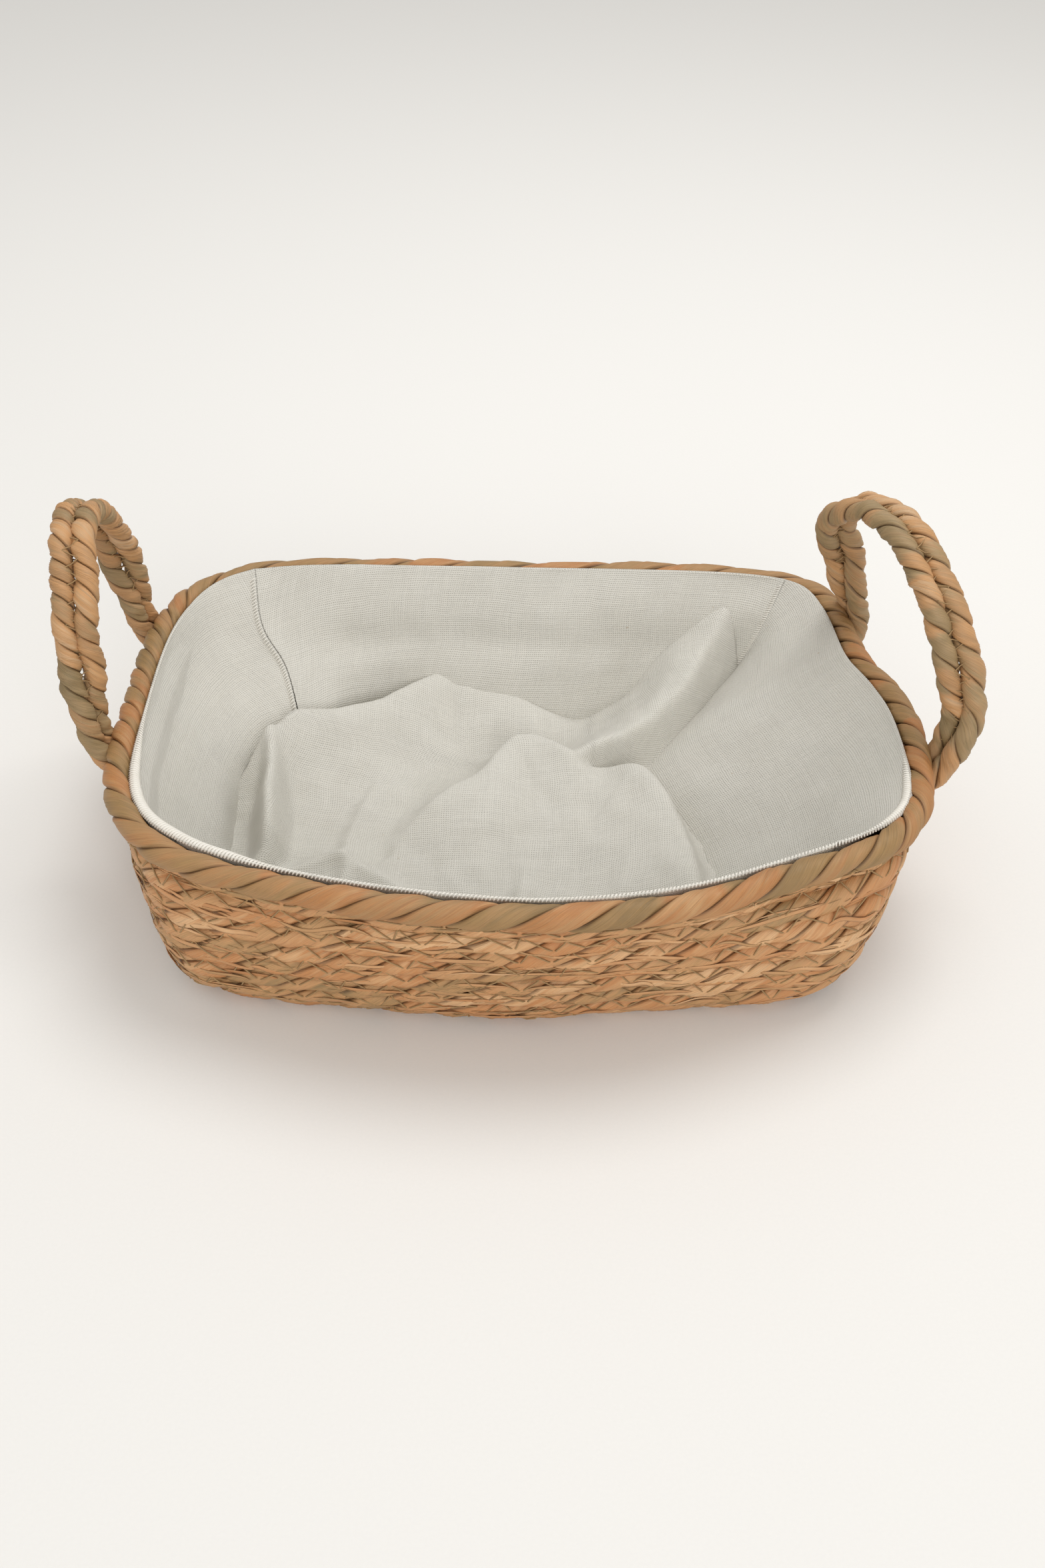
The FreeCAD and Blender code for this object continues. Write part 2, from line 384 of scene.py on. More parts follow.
wall_nodes = [("base_coil_10", BASE_HALF)]
wall_nodes += [("wall_course_%d" % (k + 1), COURSE_HALF) for k in range(WALL_COURSES)]
wall_nodes.append(("rim_rope", RIM_HALF))
places = np.arange(STEPS_ROUND) / STEPS_ROUND
courses = []
for k, (node, half) in enumerate(wall_nodes):
    growth = min(k / WALL_COURSES, 1.0) ** 0.55
    courses.append(course_line(node, half, places, 1 - growth ** 2))

wall_lines = []
for k in range(1, WALL_COURSES + 1):
    outward, up = ring_frame(courses[k], courses[k - 1], courses[k + 1])
    middle = courses[k] + outward * (0.35 * wander(places, 3, 30, 100 + k))[:, None]
    middle = middle + up * (0.45 * wander(places, 3, 24, 200 + k))[:, None]
    rope = twisted_rope("wall_rope_%d" % k, middle, outward, up, 4.2, 4.9, 20.0, 300 + 50 * k, 22,
                        square=2.35)
    wall_lines.append((middle, outward, up, rope))
    rope.data.materials.append(wall_leaf)
    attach(rope, "root")
    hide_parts("wall_course_%d" % k)


# ---------------------------------------------------------------- the coiled base
# The same rope wound flat, from a straight strip in the middle outwards, its
# underside pressed level by the table.

BASE_COILS = 10
BASE_HALF_LENGTH, BASE_HALF_WIDTH, BASE_SHIFT = 117.0, 86.0, 8.5
STRIP_HALF_LENGTH = 31.0
COIL_PITCH = 8.25
UNDERSIDE = 0.0001
strip_share = STRIP_HALF_LENGTH / BASE_HALF_LENGTH
for j in range(BASE_COILS):
    spread = 1 - COIL_PITCH * (BASE_COILS - 1 - j) / BASE_HALF_WIDTH
    count = int(max(90, STEPS_ROUND * spread * 0.7))
    places = np.arange(count) / count
    edge = course_line("base_coil_10", BASE_HALF, places, 1.0)
    strip = np.stack([(edge[:, 0] + BASE_SHIFT) * strip_share - BASE_SHIFT, 0 * places, edge[:, 2]], -1)
    middle = strip + (edge - strip) * spread
    outward, up = level_frame(middle)
    rope = twisted_rope("base_rope_%02d" % (j + 1), middle, outward, up, 4.3, 4.0, 19.0, 900 + 40 * j,
                        sides=13)
    for point in rope.data.vertices:
        point.co.z = max(point.co.z, UNDERSIDE)
    rope.data.materials.append(wall_leaf)
    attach(rope, "root")
    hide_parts("base_coil_%02d" % (j + 1))


# ---------------------------------------------------------------- the rim
# A thicker rope of broad smooth leaves sewn along the top of the wall. Its
# twist is long on the back and front and tighter round the ends.

RIM_STOPS = [(0.0, (0.250, 0.155, 0.058)), (0.25, (0.349, 0.207, 0.079)), (0.5, (0.419, 0.229, 0.092)),
             (0.75, (0.459, 0.200, 0.066)), (1.0, (0.529, 0.296, 0.127))]
rim_leaf = leaf_finish("rim_leaf", RIM_STOPS, 0.8)
RIM_STEPS = 1000
RIM_RADIUS = 4.6
places = np.arange(RIM_STEPS) / RIM_STEPS
middle = course_line("rim_rope", RIM_HALF, places)
outward, up = level_frame(middle)
middle = middle + outward * (0.4 * wander(places, 3, 16, 41))[:, None]
middle = middle + up * (0.4 * wander(places, 3, 14, 42))[:, None]
lobe = 12.5 + 7.0 * np.clip(-outward[:, 1], 0, 1) + 15.0 * np.clip(outward[:, 1], 0, 1) ** 2
rim = twisted_rope("rim_twist", middle, outward, up, RIM_RADIUS, RIM_RADIUS, lobe, 43, sides=26, square=2.0)
rim.data.materials.append(rim_leaf)
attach(rim, "root")
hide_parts("rim_rope")


# ---------------------------------------------------------------- zigzag stitching
# A thin two-ply thread sews each course to the next with one zigzag on the outside,
# drawn tight so that it lies on the crests of the twist. Torn fibres and narrow
# shreds of leaf lie over the courses between the stitches.


def thread_finish(name, colour, deep):
    """Thin hard-laid thread: slanted strands in the bump and a slight change of tone."""
    thread = Finish(name)
    place = thread.node("ShaderNodeTexCoord", output="Object")
    tone = thread.noise(place, 260.0, 2.0)
    mixed = thread.mix(tone, deep, colour)
    lay = thread.noise(thread.uv(2600, 2600), 1.0, 1.0)
    return thread.surface(mixed, lay, 0.0001, Roughness=0.75)


def skin(rope, line, outward, up, bins=27, reach=5.2):
    """How far the rope stands out at each place along it and each height, from its own mesh."""
    count = len(line)
    flat = np.empty(len(rope.data.vertices) * 3, np.float32)
    rope.data.vertices.foreach_get("co", flat)
    points = flat.reshape(2, count, -1, 3) / MM - line[None, :, None]
    u = (points * outward[None, :, None]).sum(-1)
    v = (points * up[None, :, None]).sum(-1)
    rows = np.broadcast_to(np.arange(count)[None, :, None], u.shape)
    slot = np.clip(((v / reach + 1) / 2 * (bins - 1)).round().astype(int), 0, bins - 1)
    out = np.full((count, bins), -1.0)
    np.maximum.at(out, (rows.ravel(), slot.ravel()), u.ravel())
    for _ in range(2):
        beside = np.maximum(np.roll(out, 1, 1), np.roll(out, -1, 1))
        out = np.where(out < 0, beside - 0.3, out)
    return out


def on_skin(table, row, v, reach=5.2):
    """Height of the rope's surface at a fractional row and a height v, from the table of skin()."""
    count, bins = table.shape
    slot = np.clip((v / reach + 1) / 2 * (bins - 1), 0, bins - 1.001)
    j = slot.astype(int)
    f = slot - j
    i = np.floor(row).astype(int) % count
    g = row - np.floor(row)
    this_row = table[i, j] * (1 - f) + table[i, j + 1] * f
    next_row = table[(i + 1) % count, j] * (1 - f) + table[(i + 1) % count, j + 1] * f
    return this_row * (1 - g) + next_row * g


def at_row(line, row):
    """Points of a closed line at fractional rows."""
    count = len(line)
    i = np.floor(row).astype(int)
    g = (row - i)[..., None]
    return line[i % count] * (1 - g) + line[(i + 1) % count] * g


def taut(height):
    """A string pulled tight over a profile: each height raised to the highest chord above it."""
    tight = height.copy()
    size = height.shape[-1]
    for low in range(size):
        for high in range(low + 2, size):
            for j in range(low + 1, high):
                t = (j - low) / (high - low)
                chord = height[..., low] * (1 - t) + height[..., high] * t
                tight[..., j] = np.maximum(tight[..., j], chord)
    return tight


def tubes(name, paths, normals, wide, thick, sides=5, ends=None):
    """One flat tube about each path (number, points, xyz): an ellipse of half-sizes wide and thick,
    thick along the normals. ends scales the section from point to point."""
    along = unit(np.gradient(paths, axis=1))
    beside = unit(np.cross(along, normals))
    over = np.cross(beside, along)
    ring = np.arange(sides) / sides * 2 * math.pi
    scale = np.ones(paths.shape[1]) if ends is None else ends
    wide = np.broadcast_to(np.asarray(wide, float), (len(paths),))[:, None, None, None]
    thick = np.broadcast_to(np.asarray(thick, float), (len(paths),))[:, None, None, None]
    scale = scale[None, :, None, None]
    points = (paths[:, :, None] + beside[:, :, None] * np.cos(ring)[None, None, :, None] * wide * scale
              + over[:, :, None] * np.sin(ring)[None, None, :, None] * thick * scale)
    draw = np.random.default_rng(len(paths))
    tone = np.broadcast_to(draw.uniform(0, 1, len(paths))[:, None, None], points.shape[:3])
    step = np.linalg.norm(np.diff(paths, axis=1), axis=2).mean()
    values = {"tone": tone, "groove": np.zeros(points.shape[:3])}
    return grid_object(name, points, False, True, (step, 0.6), values, caps=True)


sewing_thread = thread_finish("sewing_thread", (0.42, 0.27, 0.12, 1), (0.27, 0.16, 0.07, 1))
wall_skins = [skin(rope, line, outward, up) for line, outward, up, rope in wall_lines]
every = np.linspace(0, RIM_STEPS, STEPS_ROUND, endpoint=False).astype(int)
levels = [(courses[0], *level_frame(courses[0]))] + [lines[:3] for lines in wall_lines]
levels.append((middle[every], outward[every], up[every]))
ROUND_RIM, ROUND_BASE = 4.7, 4.2
STITCHES, RIM_STITCHES = 62, 64
draw = np.random.default_rng(77)
paths, normals = [], []
for k in range(WALL_COURSES + 1):
    stitches = STITCHES if k < WALL_COURSES else RIM_STITCHES
    turns = np.arange(2 * stitches) / (2 * stitches) * STEPS_ROUND
    turns = turns + draw.normal(0, 0.9, len(turns))
    t = np.linspace(0, 1, 8)
    start, stop = turns, np.concatenate([turns[1:], [turns[0] + STEPS_ROUND]])
    row = start[:, None] * (1 - t) + stop[:, None] * t
    tall = 3.0 + draw.normal(0, 0.35, len(turns))
    sign = np.where(np.arange(len(turns)) % 2 == 0, -1, 1)
    w = sign[:, None] * (tall[:, None] * (1 - t) - np.roll(tall, -1)[:, None] * t)
    lower, upper = levels[k], levels[k + 1]
    gap = np.linalg.norm(at_row(upper[0], row) - at_row(lower[0], row), axis=-1)
    low_v, high_v = gap / 2 + w, w - gap / 2
    if k == 0:
        low_u = np.sqrt(np.maximum(ROUND_BASE ** 2 - low_v ** 2, 0.5))
    else:
        low_u = on_skin(wall_skins[k - 1], row, low_v)
    if k == WALL_COURSES:
        high_u = np.sqrt(np.maximum(ROUND_RIM ** 2 - high_v ** 2, 0.5))
    else:
        high_u = on_skin(wall_skins[k], row, high_v)
    low_axis, high_axis = at_row(lower[1], row), at_row(upper[1], row)
    normal = unit(low_axis + high_axis)
    below = (at_row(lower[0], row) * normal).sum(-1)
    above = (at_row(upper[0], row) * normal).sum(-1)
    rise = np.where(w < 0, below + low_u, above + high_u)
    foot = rise.mean(1, keepdims=True)
    rise = foot + taut(rise - foot) + 0.2
    rise[:, 0] -= 0.8
    rise[:, -1] -= 0.8
    share = (w / gap + 0.5)[..., None]
    plain = at_row(lower[0], row) * (1 - share) + at_row(upper[0], row) * share
    paths.append(plain + normal * (rise - (plain * normal).sum(-1))[..., None])
    normals.append(normal)
stitching = tubes("wall_stitching", np.concatenate(paths), np.concatenate(normals), 0.3, 0.3)
stitching.data.materials.append(sewing_thread)
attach(stitching, "root")


STEP_LENGTH = 1.24


def lie_on_wall(number, long_low, long_high, lift, seed):
    """Random paths that follow the courses of the wall, just off the twist, their ends raised."""
    draw = np.random.default_rng(seed)
    found, axes = [], []
    t = np.linspace(0, 1, 12)
    for _ in range(number):
        k = draw.integers(0, WALL_COURSES)
        line, outward, up = wall_lines[k][:3]
        long = draw.uniform(long_low, long_high) / STEP_LENGTH
        row = draw.uniform(0, STEPS_ROUND) + long * t
        v = draw.uniform(-3.2, 3.2) + draw.normal(0, 2.0) * t + draw.normal(0, 0.8) * np.sin(t * 6)
        v = np.clip(v, -4.4, 4.4)
        u = taut(on_skin(wall_skins[k], row, v)) + 0.12
        u = u + lift * draw.exponential(1.0) * np.clip(abs(t - 0.45) / 0.55 - 0.6, 0, 1) ** 2 * 3
        found.append(at_row(line, row) + at_row(outward, row) * u[:, None] + at_row(up, row) * v[:, None])
        axes.append(at_row(outward, row))
    return np.array(found), np.array(axes)


fade = np.sqrt(np.clip(1 - np.abs(np.linspace(-1, 1, 12)) ** 3, 0.02, 1))
strips, axes = lie_on_wall(520, 10, 34, 0.15, 5)
wide = np.random.default_rng(6).uniform(0.35, 1.25, len(strips))
shreds = tubes("leaf_shreds", strips, axes, wide, 0.14, 6, fade)
shreds.data.materials.append(wall_leaf)
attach(shreds, "root")
hairs, axes = lie_on_wall(260, 6, 22, 1.3, 8)
fibres = tubes("leaf_fibres", hairs, axes, 0.12, 0.1, 4, fade)
fibres.data.materials.append(sewing_thread)
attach(fibres, "root")


# ---------------------------------------------------------------- the handles
# Each handle is a ribbon of two twisted ropes side by side, sewn to each other with
# a zigzag, and turned from lying flat on the wall at its roots to standing across
# the end at the top. The ropes run down outside the rim onto the wall.

LEFT_HANDLE = [(-144.5, -19, 50, -1), (-147.5, -19, 57, -1), (-151.5, -19, 64, -1), (-154.2, -19, 70, 0),
               (-155, -18.5, 76, 10), (-155.4, -18, 84, 25),
               (-156.2, -15.4, 100, 58), (-156.6, -10.7, 114, 82), (-156.3, -6.5, 122, 88),
               (-157.2, 2, 132, 90), (-158.6, 10, 137.5, 90), (-159.6, 22, 140, 90), (-160.4, 36, 134, 90),
               (-161, 47, 124, 90), (-159.5, 53, 114, 88), (-158.6, 57.6, 99, 62), (-156.5, 60, 85, 30),
               (-155.8, 61, 70, -1), (-153.5, 61, 64, -1), (-149, 61, 56, -1), (-146, 61, 49, -1)]
RIGHT_HANDLE = [(144.5, -18, 50, 11), (148.5, -18, 57, 11), (153, -18, 64, 11), (156, -18, 70, 11),
                (158.2, -17.7, 78.8, 28), (160, -17, 84.5, 42),
                (159.2, -16, 90, 58), (157, -14.6, 97, 73), (155.4, -12.5, 104.6, 88),
                (151, -7.8, 115.5, 97), (147.5, -1.8, 124.5, 105), (143.8, 4.4, 130.5, 110),
                (140.4, 12.4, 136, 115), (136, 22.3, 139.6, 118), (130.2, 33.6, 139.4, 120),
                (124, 42, 137, 120), (118.8, 52.3, 128.5, 120), (120, 61, 116, 112),
                (126.3, 67.4, 101.7, 82), (130.8, 71, 84, 45), (137, 73, 70, 11), (134.5, 71.5, 63, 11),
                (130, 68, 55, 11), (127, 66, 48, 11)]
ROPES_APART = 4.0
RIBBON_HALF = 8.5
RIM_TOP = 72.0
SEAM_FOOT, SEAM_ENDS, SEAM_STEP = 60, 30, 3.5


def smooth_path(knots, spacing, soft):
    """Even steps along a line through knots, rounded over a length soft; the ends stay put."""
    knots = np.array(knots, float)
    run = np.concatenate([[0], np.cumsum(np.linalg.norm(np.diff(knots[:, :3], axis=0), axis=1))])
    count = int(run[-1] / spacing) + 1
    even = np.linspace(0, run[-1], count)
    line = np.stack([np.interp(even, run, column) for column in knots.T], -1)
    reach = int(3 * soft / spacing)
    weight = np.exp(-(np.arange(-reach, reach + 1) * spacing / soft) ** 2)
    weight /= weight.sum()
    first = 2 * line[0] - line[reach:0:-1]
    last = 2 * line[-1] - line[-2:-reach - 2:-1]
    longer = np.concatenate([first, line, last])
    return np.stack([np.convolve(column, weight, "valid") for column in longer.T], -1)


HANDLE_STOPS = [(0.0, (0.262, 0.184, 0.084)), (0.3, (0.393, 0.261, 0.126)), (0.55, (0.503, 0.281, 0.126)),
                (0.75, (0.600, 0.320, 0.134)), (1.0, (0.634, 0.417, 0.235))]
handle_leaf = leaf_finish("handle_leaf", HANDLE_STOPS)
for side, knots, outward_x, seed in (("left", LEFT_HANDLE, -1, 501), ("right", RIGHT_HANDLE, 1, 601)):
    boxes = [np.array(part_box("%s_handle_%s_rope" % (side, part))) / MM for part in ("outer", "inner")]
    cad_middle = (np.min([b[0] for b in boxes], 0) + np.max([b[1] for b in boxes], 0)) / 2
    path = smooth_path(knots, 0.9, 3.2)
    middle, turn = path[:, :3], np.radians(path[:, 3])
    along = along_line(middle, False)
    width = np.stack([outward_x * np.sin(turn), -np.cos(turn), 0 * turn], -1)
    width = unit(width - along * (width * along).sum(-1, keepdims=True))
    face = np.cross(width, along)
    places = np.linspace(0, 1, len(middle))
    high = middle[:, 2] > RIM_TOP
    ribbon = np.concatenate([middle[high] + width[high] * RIBBON_HALF,
                             middle[high] - width[high] * RIBBON_HALF])
    middle = middle + np.array([*((cad_middle - (ribbon.min(0) + ribbon.max(0)) / 2)[:2] * 0.5), 0])
    tight = np.clip((middle[:, 2] - 66) / 60, 0, 1)
    pieces = []
    for part, sign in (("outer", 1), ("inner", -1)):
        apart = ROPES_APART + 0.35 * wander(places, 2, 12, seed + sign)
        lift = 0.3 * wander(places, 2, 12, seed + 4 + sign)
        line = middle + width * (sign * apart)[:, None] + face * lift[:, None]
        if side == "left":
            lobe = (11.5 - 4.5 * tight) * (1.0 if part == "outer" else 1.15)
        else:
            lobe = 12.5 - 2.5 * tight
        rope = twisted_rope("%s_handle_%s_twist" % (side, part), line, width, face, 4.15, 4.0, lobe,
                            seed + 10 * sign, 22, closed=False, square=2.1)
        rope.data.materials.append(handle_leaf)
        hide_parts("%s_handle_%s_rope" % (side, part), "%s_handle_front_%s_root" % (side, part),
                    "%s_handle_back_%s_root" % (side, part))
        pieces.append(rope)
    run = np.arange(SEAM_ENDS, len(middle) - SEAM_ENDS, SEAM_STEP)
    run = run[at_row(middle, run)[:, 2] > SEAM_FOOT]
    t = np.linspace(0, 1, 5)
    found, axes = [], []
    for facing in (1, -1):
        row = run[:-1, None] * (1 - t) + run[1:, None] * t
        sign = np.where(np.arange(len(run) - 1) % 2 == 0, -1, 1)[:, None]
        off = sign * 3.0 * (1 - 2 * t)[None]
        rise = 3.75 - 0.5 * np.abs(np.abs(off) - 3.0) + 0 * row
        rise[:, 0], rise[:, -1] = 3.3, 3.3
        normal = at_row(face, row) * facing
        found.append(at_row(middle, row) + at_row(width, row) * off[..., None] + normal * rise[..., None])
        axes.append(normal)
    seam = tubes("%s_handle_stitching" % side, np.concatenate(found), np.concatenate(axes), 0.25, 0.25)
    seam.data.materials.append(sewing_thread)
    for piece in (*pieces, seam):
        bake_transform(piece)


# ---------------------------------------------------------------- the cotton liner
# Loose plain-weave cotton: four panels sewn to each other at the corners and by their
# hem inside the rim, and a bottom piece cut too large, so that it lies in folds. The
# right end is drawn tight from the rim to the bottom.

RIM_INSIDE = 5.0
FLOOR_LEVEL = np.array(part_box("liner_floor"))[0][2] / MM + 3.0
CLOTH = 0.5
HEM_LEVEL = 70.5
NEAR_LEFT, NEAR_RIGHT = 0.60, 0.945


def at_corner(places, corner, width, power):
    """Bell of height 1 about a corner's place round the edge."""
    return np.exp(-(((places - corner + 0.5) % 1 - 0.5) / width) ** power)


def hem_line(start, stop, count, inset, z):
    """Part of the line inside the rim, from one place round the edge to another, at a height z.
    Along the back it climbs onto the inner shoulder of the rim, and at the near right corner it
    lies closer to it."""
    places = np.linspace(start, stop, count)
    line = course_line("rim_rope", RIM_HALF, places)
    ahead, behind = (course_line("rim_rope", RIM_HALF, places + d) for d in (0.002, -0.002))
    along = unit(ahead - behind)
    inward = np.stack([-along[:, 1], along[:, 0], 0 * places], -1)
    shoulder = np.clip(-inward[:, 1] * 1.6 - 0.5, 0, 1)
    corner = at_corner(places, NEAR_RIGHT, 0.03, 2)
    line = line + inward * (RIM_INSIDE + inset - 1.5 * shoulder - 1.2 * corner)[:, None]
    line[:, 2] = z + 1.6 * shoulder
    return line


def place_of(x, y):
    """Place round the hem nearest to a point, from 0 to 1."""
    line = hem_line(0, 1, 2001, 0, 0)
    return np.argmin(np.hypot(line[:, 0] - x, line[:, 1] - y)) / 2000


def curve_through(points, count):
    """Smooth line through points (Catmull-Rom on chord length), count even steps."""
    points = np.array(points, float)
    run = np.concatenate([[0], np.cumsum(np.linalg.norm(np.diff(points, axis=0), axis=1))])
    slope = np.gradient(points, run, axis=0)
    even = np.linspace(0, run[-1], count)
    i = np.clip(np.searchsorted(run, even, side="right") - 1, 0, len(run) - 2)
    long = (run[i + 1] - run[i])[:, None]
    t = ((even - run[i])[:, None]) / long
    return ((2 * t**3 - 3 * t**2 + 1) * points[i] + (t**3 - 2 * t**2 + t) * long * slope[i]
            + (3 * t**2 - 2 * t**3) * points[i + 1] + (t**3 - t**2) * long * slope[i + 1])


def patch(top, bottom, first, last):
    """Coons patch: the sheet spanned by four border lines, (1-v) top + v bottom + (1-u) first
    + u last, less the bilinear mix of the corners."""
    v = np.linspace(0, 1, len(first))[:, None, None]
    u = np.linspace(0, 1, len(top))[None, :, None]
    across = (1 - v) * top[None] + v * bottom[None]
    down = (1 - u) * first[:, None] + u * last[:, None]
    corners = ((1 - v) * (1 - u) * top[0] + (1 - v) * u * top[-1]
               + v * (1 - u) * bottom[0] + v * u * bottom[-1])
    return across + down - corners


def smooth_noise(shape, scale, seed):
    """Soft random relief on a grid, about 1 in size: white noise blurred over scale steps."""
    draw = np.random.default_rng(seed)
    grid = draw.normal(size=shape)
    for axis in (0, 1):
        reach = int(3 * scale)
        weight = np.exp(-(np.arange(-reach, reach + 1) / scale) ** 2)
        weight /= math.sqrt((weight ** 2).sum())
        pad = [(reach, reach) if a == axis else (0, 0) for a in (0, 1)]
        longer = np.pad(grid, pad, mode="reflect")
        grid = sum(w * np.take(longer, range(i, i + shape[axis]), axis)
                   for i, w in enumerate(weight))
    return grid


def keep_inside(points, clear):
    """Moves points that are nearer than clear to the middle line of the wall's rope, or beyond it,
    level with them, straight inwards to that distance."""
    rings = np.array(courses)
    flat = points.reshape(-1, 3).copy()
    heights = rings[:, 0, 2]
    for low in range(0, len(flat), 4000):
        part = flat[low:low + 4000]
        i = np.clip(np.searchsorted(heights, part[:, 2]) - 1, 0, len(rings) - 2)
        t = np.clip((part[:, 2] - heights[i]) / (heights[i + 1] - heights[i]), 0, 1)[:, None]
        below, above = rings[i][:, ::4, :2], rings[i + 1][:, ::4, :2]
        ring = below * (1 - t[..., None]) + above * t[..., None]
        away = part[:, None, :2] - ring
        nearest = np.argmin((away ** 2).sum(-1), 1)
        pick = np.arange(len(part))
        along = unit(ring[pick, (nearest + 1) % ring.shape[1]] - ring[pick, nearest - 1])
        outward = np.stack([along[:, 1], -along[:, 0]], -1)
        over = (away[pick, nearest] * outward).sum(-1) + clear
        part[:, :2] -= outward * np.maximum(over, 0)[:, None]
    return flat.reshape(points.shape)


def blurred(grid, times):
    """Each value of a grid averaged with its neighbours, a number of times over."""
    for _ in range(times):
        wide = np.pad(grid, 1, mode="edge")
        grid = (wide[1:-1, 1:-1] * 4 + wide[:-2, 1:-1] + wide[2:, 1:-1]
                + wide[1:-1, :-2] + wide[1:-1, 2:]) / 8
    return grid


def sheet_normals(points):
    """Unit normals of a grid of points."""
    rows, cols = np.gradient(points, axis=0), np.gradient(points, axis=1)
    return unit(np.cross(rows, cols))


def cotton_finish(name):
    """Loose plain weave: threads 0.88 mm apart over and under each other, small dark holes between
    them that show more in some places, slubs along both threads, and a cream tint."""
    cotton = Finish(name)
    place = cotton.node("ShaderNodeTexCoord", output="Object")
    plain = cotton.node("ShaderNodeUVMap", {"uv_map": "UVMap"})
    sway = cotton.node("ShaderNodeTexNoise", {}, {"Vector": place, "Scale": 45.0, "Detail": 3.0}, output=1)
    moved = cotton.node("ShaderNodeVectorMath", {"operation": "MULTIPLY_ADD"},
                        {0: sway, 1: (0.0035, 0.0035, 0.0), 2: plain})
    parts = cotton.node("ShaderNodeSeparateXYZ", {}, {0: moved})
    other = cotton.node("ShaderNodeSeparateXYZ", {}, {0: moved}, output=1)
    pitch = math.pi / 0.00088
    warp = abs(parts.sum("SINE", parts * pitch))
    weft = abs(other.sum("SINE", other * pitch))
    slub_u = cotton.noise(cotton.scaled(moved, 1100, 40), 1.0, 2.0)
    slub_v = cotton.noise(cotton.scaled(moved, 40, 1100), 1.0, 2.0)
    threads = warp.sum("MAXIMUM", warp * (slub_u * 0.8 + 0.6), weft * (slub_v * 0.8 + 0.6))
    open_here = ((cotton.noise(place, 38.0, 3.0) - 0.42) * 5.0).clamp()
    holes = (1.0 - (threads - 0.18) * 2.1).clamp() ** 1.5
    shade = cotton.noise(place, 60.0, 3.0)
    colour = cotton.mix(shade, (0.61, 0.585, 0.52, 1), (0.66, 0.64, 0.58, 1))
    slubs = ((slub_u + slub_v - 1.0) * 0.9).clamp()
    colour = cotton.mix(slubs, colour, (0.76, 0.74, 0.68, 1))
    colour = cotton.mix(holes * (open_here * 0.42 + 0.2), colour, (0.33, 0.30, 0.25, 1))
    specks = ((cotton.noise(place, 420.0, 1.0) - 0.80) * 30.0).clamp()
    colour = cotton.mix(specks * 0.6, colour, (0.45, 0.36, 0.26, 1))
    height = threads * 0.8 + (slub_u + slub_v) * 0.3
    return cotton.surface(colour, height, 0.00035, Roughness=0.95, Sheen_Weight=0.15)


cotton = cotton_finish("liner_cotton")


def lengths(points):
    """Length along the cloth of each point of a grid, down it and across it, from its middle."""
    down = np.linalg.norm(np.diff(points, axis=0), axis=2)
    across = np.linalg.norm(np.diff(points, axis=1), axis=2)
    down = np.concatenate([np.zeros((1, down.shape[1])), np.cumsum(down, 0)])
    across = np.concatenate([np.zeros((across.shape[0], 1)), np.cumsum(across, 1)], 1)
    rows, cols = points.shape[:2]
    down = down - down[rows // 2]
    across = across - across[:, cols // 2][:, None]
    return np.stack([across, down], -1)


def cloth(name, points, node):
    """Sheet of cotton from a grid of points, given its thickness outside the seen face; its UV map runs
    along the cloth's own lengths."""
    made = grid_object(name, points, False, False, lengths(points))
    solid = made.modifiers.new("thickness", "SOLIDIFY")
    solid.thickness = CLOTH * MM
    solid.offset = -1.0
    made.data.materials.append(cotton)
    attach(made, "root")
    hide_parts(node)


seams = {
    "left_back": [(-113, 90, HEM_LEVEL), (-110, 76, 54), (-101, 66, 44), (-95, 51, 36), (-92, 41, 26),
                  (-92, 34, 12)],
    "right_back": [(108, 91, HEM_LEVEL), (103, 87, 58), (95, 84, 40), (85, 79, 24), (78, 72, 12)],
    "left_front": [(-118, -72, HEM_LEVEL), (-113, -69, 40), (-108, -63, 12)],
    "right_front": [(112, -72, HEM_LEVEL), (103, -68, 40), (84, -62, 12)],
}
corner_places = {}
for key, line in seams.items():
    corner_places[key] = place_of(line[0][0], line[0][1])
    line[0] = tuple(hem_line(corner_places[key], corner_places[key], 1, 0.4, HEM_LEVEL)[0])

BACK_FOOT = [(78, 72, 12), (64, 74, 14), (46, 73, 14), (28, 70, 13), (10, 67, 13), (-8, 66, 13),
             (-40, 71, 13), (-72, 64, 12), (-92, 34, 12)]
LEFT_FOOT = [(-92, 34, 12), (-109, 26, 12), (-113, 10, 12), (-113, -15, 12), (-110, -40, 12),
             (-108, -63, 12)]
FRONT_FOOT = [(-108, -63, 12), (-80, -71, 10), (0, -75, 10), (60, -72, 10), (84, -62, 12)]
RIGHT_FOOT = [(84, -62, 12), (75, -35, 12), (66, -4, 12), (54, 17, 12), (50, 40, 12), (62, 60, 12),
              (78, 72, 12)]
PANELS = [("back", "right_back", "left_back", BACK_FOOT, 250, -2.2, (0.215, 0.076), 0.0148),
          ("left", "left_back", "left_front", LEFT_FOOT, 170, 2.0, (0.155, 0.078), 0.0107),
          ("front", "left_front", "right_front", FRONT_FOOT, 240, 1.0, (0.230, 0.067), 0.0141),
          ("right", "right_front", "right_back", RIGHT_FOOT, 190, -2.5, (0.165, 0.092), 0.0140)]
DOWN = 70
PANEL_CLEAR = 5.3
panels = {}
